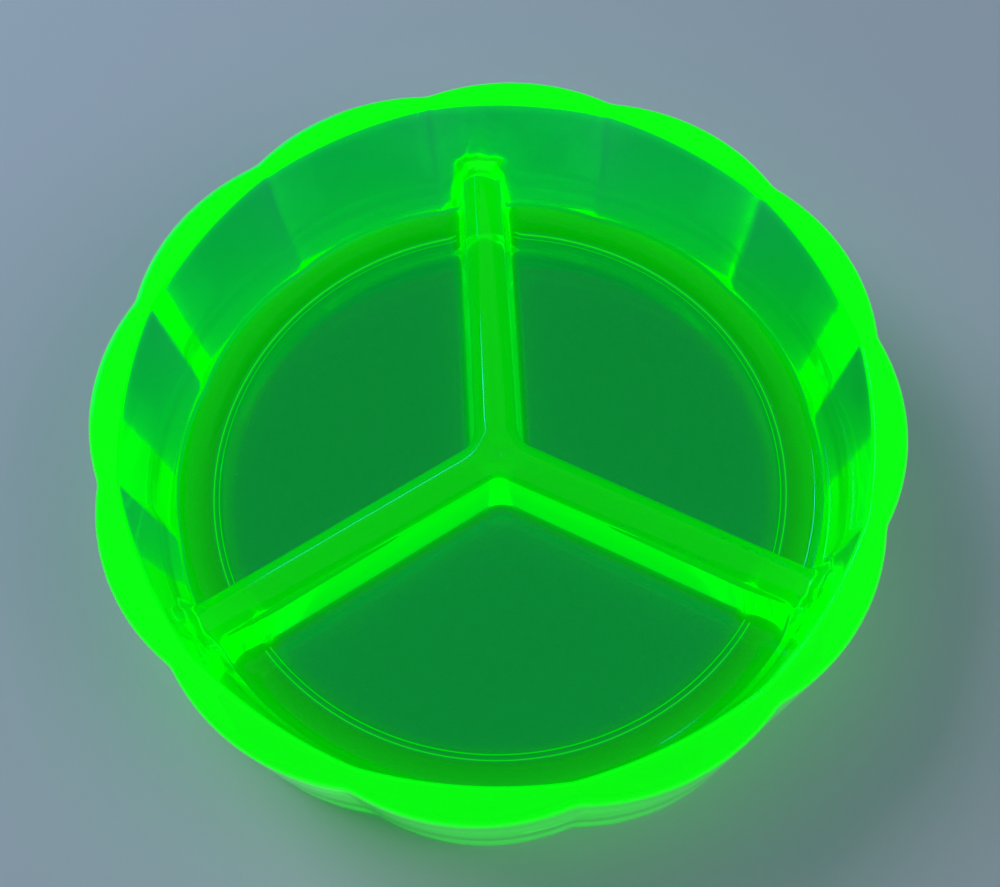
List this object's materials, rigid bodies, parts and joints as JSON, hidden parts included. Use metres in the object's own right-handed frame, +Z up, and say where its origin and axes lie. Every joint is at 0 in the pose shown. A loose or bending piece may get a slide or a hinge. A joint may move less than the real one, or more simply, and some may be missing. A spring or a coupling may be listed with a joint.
{
  "type": "divided relish dish",
  "caption": "Round lobed glass dish with a Y-shaped divider that makes equal compartments for sweets, nuts or relishes.",
  "frame": {"origin": "centre of the resting plane, on the dish's axis under the hub", "axes": "+Z up along the dish's axis, +Y along the back divider, +X to the right of it"},
  "size_m": [0.167, 0.167, 0.042],
  "materials": {
    "pressed_glass": "fire-polished yellow-green uranium glass that glows vivid green under ultraviolet light"
  },
  "bodies": {
    "root": {"floor_and_foot": "pressed_glass", "side_wall": "pressed_glass", "divider_back": "pressed_glass", "divider_left": "pressed_glass", "divider_right": "pressed_glass", "divider_hub": "pressed_glass"}
  },
  "joints": []
}
